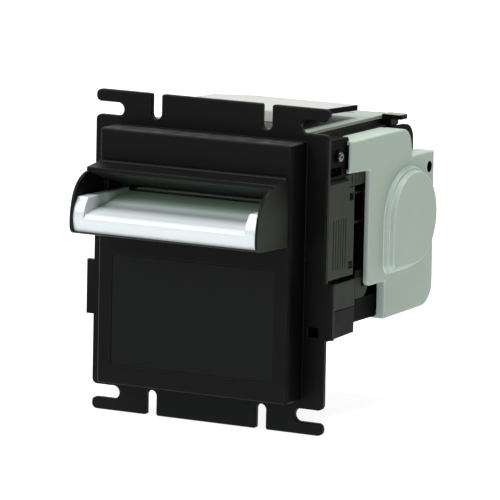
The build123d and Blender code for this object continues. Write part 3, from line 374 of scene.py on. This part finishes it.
def metal(name, tint, rough, stretch=(1.0, 1.0, 1.0), scale=900.0):
    """Machined or plated metal with fine scratches, drawn out along one axis by stretch."""
    s = Shader(name)
    s.soften(0.0003)
    lines = s.noise(scale, 3.0, 0.7, stretch)
    color = s.ramp(lines, ((0.3, tuple(c * 0.82 for c in tint)), (0.7, tint)))
    s.bump(lines, 0.08, 0.00004)
    return s.finish(color, s.spread(s.noise(200.0, 3.0), *rough), 1.0)


PLASTICS = {
    "label_film": dict(
        dark=(0.0038, 0.0046, 0.004), light=(0.0046, 0.0054, 0.0048), rough=(0.3, 0.34),
        grain=5200.0, depth=0.04, Specular_IOR_Level=0.06,
    ),
    # On the side covers the edge colour, with least raised, is a painted highlight on the
    # ridges, front is painted light on the forward faces, and hole is painted shade in the lug
    # hole
    "cover_grey": dict(
        dark=(0.31, 0.385, 0.325), light=(0.33, 0.405, 0.345), rough=(0.42, 0.5),
        grain=1500.0, depth=0.12, wear=(0.8, 0.92, 0.88), soft=0.0009, least=0.45,
        front=(0.44, 0.53, 0.49), hole=LUG_HOLE, Specular_IOR_Level=0.25,
    ),
    # On the lid, front paints the forward faces lighter as light from the front
    "cover_pale": dict(
        dark=(0.31, 0.325, 0.3), light=(0.335, 0.35, 0.325), rough=(0.42, 0.5),
        grain=1500.0, depth=0.14, wear=(0.5, 0.53, 0.49), front=(0.62, 0.62, 0.57),
        Specular_IOR_Level=0.35,
    ),
    "top_pale": dict(
        dark=(0.215, 0.255, 0.215), light=(0.235, 0.28, 0.235), rough=(0.42, 0.5),
        grain=1500.0, depth=0.14, wear=(0.5, 0.56, 0.5), Specular_IOR_Level=0.3,
    ),
    "frame_black": dict(
        dark=(0.0007, 0.0007, 0.0009), light=(0.001, 0.001, 0.0012), rough=(0.4, 0.48),
        grain=1800.0, depth=0.12, wear=(0.005, 0.0055, 0.005), Specular_IOR_Level=0.018,
    ),
    "panel_olive": dict(
        dark=(0.025, 0.0305, 0.019), light=(0.031, 0.0365, 0.0235), rough=(0.5, 0.58),
        grain=1700.0, depth=0.16, wear=(0.07, 0.075, 0.06), Specular_IOR_Level=0.1,
    ),
    "guide_black": dict(
        dark=(0.005, 0.0053, 0.005), light=(0.0065, 0.007, 0.0065), rough=(0.3, 0.36),
        grain=2400.0, depth=0.04, Specular_IOR_Level=0.2,
    ),
    "lens_clear": dict(
        dark=(0.55, 0.62, 0.66), light=(0.62, 0.68, 0.72), rough=(0.05, 0.08),
        grain=3000.0, depth=0.01, Transmission_Weight=0.6,
    ),
    "rubber_tyre": dict(
        dark=(0.11, 0.11, 0.115), light=(0.14, 0.14, 0.145), rough=(0.7, 0.8),
        grain=3200.0, depth=0.3,
    ),
    "belt_rubber": dict(
        dark=(0.018, 0.018, 0.018), light=(0.024, 0.024, 0.024), rough=(0.6, 0.7),
        grain=2600.0, depth=0.35,
    ),
    "gear_acetal": dict(
        dark=(0.66, 0.65, 0.58), light=(0.72, 0.71, 0.65), rough=(0.26, 0.33),
        grain=1900.0, depth=0.05,
    ),
    "board_green": dict(
        dark=(0.012, 0.085, 0.035), light=(0.018, 0.11, 0.045), rough=(0.22, 0.3),
        grain=900.0, depth=0.06,
    ),
    "chip_black": dict(
        dark=(0.012, 0.012, 0.013), light=(0.018, 0.018, 0.019), rough=(0.4, 0.5),
        grain=3600.0, depth=0.12,
    ),
    "connector_white": dict(
        dark=(0.6, 0.56, 0.45), light=(0.66, 0.62, 0.51), rough=(0.34, 0.42),
        grain=1600.0, depth=0.1,
    ),
    "button_black": dict(
        dark=(0.005, 0.005, 0.0055), light=(0.007, 0.007, 0.0075), rough=(0.5, 0.6),
        grain=2000.0, depth=0.08, Specular_IOR_Level=0.06,
    ),
    "led_clear": dict(
        dark=(0.6, 0.68, 0.76), light=(0.66, 0.72, 0.79), rough=(0.05, 0.1),
        grain=2500.0, depth=0.01, Transmission_Weight=0.5,
    ),
}
METALS = {
    "steel": dict(tint=(0.5, 0.5, 0.51), rough=(0.14, 0.26), stretch=(1.0, 26.0, 26.0)),
    "zinc_screw": dict(tint=(0.13, 0.15, 0.14), rough=(0.18, 0.3)),
    "bronze": dict(tint=(0.52, 0.33, 0.14), rough=(0.4, 0.6)),
    "brass": dict(tint=(0.66, 0.46, 0.17), rough=(0.16, 0.3)),
    "solder": dict(tint=(0.62, 0.62, 0.64), rough=(0.25, 0.4), scale=1400.0),
    "spring_steel": dict(tint=(0.42, 0.42, 0.44), rough=(0.16, 0.26), scale=1600.0),
    "gilt": dict(tint=(0.75, 0.56, 0.22), rough=(0.2, 0.3)),
    "motor_steel": dict(
        tint=(0.5, 0.51, 0.52), rough=(0.28, 0.42), stretch=(26.0, 1.0, 1.0)
    ),
}

MAT = {"bezel_black": bezel_plastic(), "white_tray": tray_plastic()}
MAT.update((name, moulded(name, **look)) for name, look in PLASTICS.items())
MAT.update((name, metal(name, **look)) for name, look in METALS.items())

# Each node takes the material of its slot, apart from those that differ within their slot.
for row in frame["record"]["subparts"]:
    node = bpy.data.objects[row["node"]]
    node.data.materials.clear()
    node.data.materials.append(MAT[row["material_slot"]])
for name, material in (
    ("front_collar", lit_olive_shaded_black("collar_olive", -0.0208, -0.0203)),
    ("corner_guards", lit_olive_shaded_black("guard_olive", -0.0086, -0.0094)),
    ("mouth_shell", mouth_plastic()),
    ("upper_frame", wing_plastic()),
    ("top_cover", MAT["top_pale"]),
    ("lower_guide", lower_guide_plastic()),
):
    bpy.data.objects[name].data.materials[0] = material


# ---------------------------------------------------------------- extra pieces, in mm
SQUARE = ((-1, -1), (1, -1), (1, 1), (-1, 1))
SHARP_ANGLE = math.radians(35)

WIRE_SIDES = 8
COIL_STEPS = 18          # points in each turn of a spring
LEG_STEPS = 3            # points along each leg of a spring

PIN_PITCH = 2.54
PIN_COLUMNS, PIN_ROWS = 9, 2
PIN_LOW_Z = -18.9
PIN_PROFILE = ((101.05, 0.36), (108.2, 0.36), (109.0, 0.16))   # y, half width

BOARD_TOP = -22.4
LEAD_PITCH = 1.27
LEAD_HALF_W, LEAD_HALF_T = 0.2, 0.08
LEAD_PROFILE = ((-0.2, 0.8), (0.5, 0.8), (0.8, 0.1), (1.4, 0.1))   # past the chip, up
CORNER_SPACE = 1.5       # what the corners of a chip take from its row of leads
CHIPS = (                # x, y, width, depth, and whether it has leads on all four sides
    (-12, 36, 14, 14, True), (14, 34, 10, 7, False), (-14, 60, 8, 6, False),
    (12, 56, 12, 12, True), (26, 84, 8, 8, True),
)

LATCH_PIN = (96.0, 46.0)     # y, z
LATCH_SPRING_END = 3.4
FLAP_PIN = (93.5, 22.6)
FLAP_SPRING_ENDS = (20.8, 24.6)


def piece(name, body, bm, material):
    """Turn a mesh in mm into a piece that rides on one body."""
    bmesh.ops.recalc_face_normals(bm, faces=bm.faces)
    mesh = bpy.data.meshes.new(name)
    bm.to_mesh(mesh)
    bm.free()
    mesh.transform(Matrix.Scale(MM, 4))
    for polygon in mesh.polygons:
        polygon.use_smooth = True
    mesh.set_sharp_from_angle(angle=SHARP_ANGLE)
    mesh.materials.append(material)
    made = bpy.data.objects.new(name, mesh)
    bpy.context.scene.collection.objects.link(made)
    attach(made, body)


def skin(bm, rings):
    """Walls from each closed ring to the next, with both ends closed."""
    for first, second in zip(rings, rings[1:]):
        for i in range(len(first)):
            j = (i + 1) % len(first)
            bm.faces.new((first[i], first[j], second[j], second[i]))
    bm.faces.new(rings[0])
    bm.faces.new(rings[-1])


def wire(bm, path, radius):
    """Round wire along a path."""
    points = [Vector(p) for p in path]
    rings = []
    side = None
    for i, point in enumerate(points):
        tangent = (points[min(i + 1, len(points) - 1)] - points[max(i - 1, 0)]).normalized()
        if side is None:
            side = tangent.orthogonal()
        side = (side - side.dot(tangent) * tangent).normalized()
        other = tangent.cross(side)
        rings.append([
            bm.verts.new(point + radius * (math.cos(a) * side + math.sin(a) * other))
            for a in (2 * math.pi * k / WIRE_SIDES for k in range(WIRE_SIDES))
        ])
    skin(bm, rings)


def torsion_spring(bm, pin, start, end, coil_r, wire_r, turns, legs):
    """Coil round a pin along X with a straight leg off each end, legs as (angle, length)."""
    y, z = pin
    (first_angle, first_length), (last_angle, last_length) = legs
    total = 360 * turns + last_angle - first_angle
    count = COIL_STEPS * turns
    coil = []
    for i in range(count + 1):
        angle = math.radians(first_angle + total * i / count)
        coil.append((
            start + (end - start) * i / count,
            y + coil_r * math.cos(angle), z + coil_r * math.sin(angle)
        ))
    path = []
    angle = math.radians(first_angle)
    for k in range(LEG_STEPS, 0, -1):
        run = first_length * k / LEG_STEPS
        path.append((
            start, coil[0][1] + run * math.sin(angle), coil[0][2] - run * math.cos(angle)
        ))
    path += coil
    angle = math.radians(last_angle)
    for k in range(1, LEG_STEPS + 1):
        run = last_length * k / LEG_STEPS
        path.append((
            end, coil[-1][1] - run * math.sin(angle), coil[-1][2] + run * math.cos(angle)
        ))
    wire(bm, path, wire_r)


def header_pins():
    """Gilt square pins with tapered tips over the posts of the rear header."""
    bm = bmesh.new()
    for column in range(PIN_COLUMNS):
        for row in range(PIN_ROWS):
            x = (column - (PIN_COLUMNS - 1) // 2) * PIN_PITCH
            z = PIN_LOW_Z + row * PIN_PITCH
            skin(bm, [
                [bm.verts.new((x + a * half, y, z + b * half)) for a, b in SQUARE]
                for y, half in PIN_PROFILE
            ])
    piece("header_pins", "main_frame", bm, MAT["gilt"])


def chip_leads():
    """Bent leads soldered to the board along the sides of each chip."""
    bm = bmesh.new()
    for x, y, width, depth, four_sides in CHIPS:
        # Each row of leads: whether it stands out along X, which way, the chip's size
        # that way, and the row's length
        rows = [(False, 1, depth, width), (False, -1, depth, width)]
        if four_sides:
            rows += [(True, 1, width, depth), (True, -1, width, depth)]
        for out_along_x, sign, out, run in rows:
            count = int((run - CORNER_SPACE) / LEAD_PITCH) + 1
            for k in range(count):
                along = (k - (count - 1) / 2) * LEAD_PITCH
                rings = []
                for reach, rise in LEAD_PROFILE:
                    far = sign * (out / 2 + reach)
                    ring = []
                    for a, b in SQUARE:
                        side = along + a * LEAD_HALF_W
                        up = BOARD_TOP + rise + b * LEAD_HALF_T
                        if out_along_x:
                            ring.append(bm.verts.new((x + far, y + side, up)))
                        else:
                            ring.append(bm.verts.new((x + side, y + far, up)))
                    rings.append(ring)
                skin(bm, rings)
    piece("chip_leads", "main_frame", bm, MAT["solder"])


def return_springs():
    """Torsion springs that close the latch and lift the flap."""
    bm = bmesh.new()
    torsion_spring(
        bm, LATCH_PIN, -LATCH_SPRING_END, LATCH_SPRING_END, coil_r=2.25, wire_r=0.35,
        turns=7, legs=((180, 3.4), (0, 3.6))
    )
    piece("latch_spring", "latch", bm, MAT["spring_steel"])
    bm = bmesh.new()
    inner, outer = FLAP_SPRING_ENDS
    for side in (-1, 1):
        torsion_spring(
            bm, FLAP_PIN, side * inner, side * outer, coil_r=1.75, wire_r=0.28,
            turns=6, legs=((200, 3.0), (20, 3.0))
        )
    piece("flap_springs", "main_frame", bm, MAT["spring_steel"])


header_pins()
chip_leads()
return_springs()


# ---------------------------------------------------------------- stage
CAMERA_AZ, CAMERA_EL, CAMERA_ROLL = 28.45, 9.2, 1.22    # degrees
CAMERA_AT = Vector((1.0780, -1.9528, 0.3665))
CAMERA_LENS, SENSOR_WIDTH = 384.9, 36.0                 # mm
CLIP_START, CLIP_END = 0.05, 40.0

FLOOR_GAP = 0.0004       # between the floor and the object's lowest point
FLOOR_FRONT, FLOOR_HALF_W = -4.0, 6.0
SWEEP_START, SWEEP_R, SWEEP_STEPS = 2.6, 1.2, 24
WALL_HEIGHT = 4.0

WHITE = (1.0, 1.0, 1.0, 1.0)
FLOOR_GLOW = 0.88
WORLD_STRENGTH = 0.12
LIGHTS = (               # name, place, target, size, watts
    ("key", (-0.9, -1.3, 1.2), (0.0, 0.0, 0.0), (1.3, 1.3), 36.0),
    ("fill", (0.1, -1.5, 0.12), (0.0, 0.0, 0.02), (1.0, 0.5), 9.0),
    ("side", (1.9, 0.2, 0.9), (0.04, 0.05, 0.0), (0.9, 0.9), 2.5),
    ("top", (0.0, 0.3, 1.7), (0.0, 0.04, 0.0), (1.0, 0.7), 40.0),
)


def camera():
    """Long lens from the front right and a little above, with a slight roll."""
    az, el, roll = (math.radians(a) for a in (CAMERA_AZ, CAMERA_EL, CAMERA_ROLL))
    back = Vector((
        math.sin(az) * math.cos(el), -math.cos(az) * math.cos(el), math.sin(el)
    ))
    right = Vector((math.cos(az), math.sin(az), 0.0))
    up = back.cross(right)
    x_axis = math.cos(roll) * right + math.sin(roll) * up
    y_axis = -math.sin(roll) * right + math.cos(roll) * up
    data = bpy.data.cameras.new("camera")
    data.lens = CAMERA_LENS
    data.sensor_width = SENSOR_WIDTH
    data.clip_start, data.clip_end = CLIP_START, CLIP_END
    view = bpy.data.objects.new("camera", data)
    matrix = Matrix((x_axis, y_axis, back)).transposed().to_4x4()
    matrix.translation = CAMERA_AT
    view.matrix_world = matrix
    bpy.context.scene.collection.objects.link(view)
    bpy.context.scene.camera = view


def floor_paper():
    """Pale paper that glows, so that it comes out nearly white."""
    s = Shader("floor_paper")
    s.bump(s.noise(900.0, 3.0, 0.6), 0.03, 0.0001)
    color = s.ramp(s.noise(3.0, 2.0), ((0.3, (0.34, 0.34, 0.34)), (0.7, (0.36, 0.36, 0.36))))
    return s.finish(
        color, 0.9, Specular_IOR_Level=0.1, Emission_Color=WHITE, Emission_Strength=FLOOR_GLOW
    )


def sweep():
    """Pale floor that curves up into a backdrop far behind the object."""
    floor_z = CAD_BOX[0][2] - FLOOR_GAP
    profile = [(FLOOR_FRONT, floor_z)]
    for i in range(SWEEP_STEPS + 1):
        angle = math.radians(90 * i / SWEEP_STEPS)
        profile.append((
            SWEEP_START + SWEEP_R * math.sin(angle), floor_z + SWEEP_R * (1 - math.cos(angle))
        ))
    profile.append((SWEEP_START + SWEEP_R, floor_z + WALL_HEIGHT))
    mesh = bpy.data.meshes.new("floor")
    bm = bmesh.new()
    left, right = (
        [bm.verts.new((x, y, z)) for y, z in profile] for x in (-FLOOR_HALF_W, FLOOR_HALF_W)
    )
    for i in range(len(profile) - 1):
        bm.faces.new((left[i], right[i], right[i + 1], left[i + 1]))
    bm.to_mesh(mesh)
    bm.free()
    for polygon in mesh.polygons:
        polygon.use_smooth = True
    mesh.materials.append(floor_paper())
    floor = bpy.data.objects.new("floor", mesh)
    floor.rotation_euler = (0, 0, math.radians(CAMERA_AZ))
    bpy.context.scene.collection.objects.link(floor)


def world():
    """Even white light from all round, which fills the shadows."""
    env = bpy.data.worlds.new("studio")
    env.use_nodes = True
    background = env.node_tree.nodes["Background"]
    background.inputs["Color"].default_value = WHITE
    background.inputs["Strength"].default_value = WORLD_STRENGTH
    bpy.context.scene.world = env


def area(name, location, target, size, power):
    """Soft rectangular light aimed at a target."""
    light = bpy.data.lights.new(name, "AREA")
    light.shape = "RECTANGLE"
    light.size, light.size_y = size
    light.energy = power
    lamp = bpy.data.objects.new(name, light)
    lamp.location = location
    aim = Vector(target) - Vector(location)
    lamp.rotation_euler = aim.to_track_quat("-Z", "Y").to_euler()
    bpy.context.scene.collection.objects.link(lamp)


bpy.context.scene.view_settings.view_transform = "Standard"
camera()
sweep()
world()
for light in LIGHTS:
    area(*light)
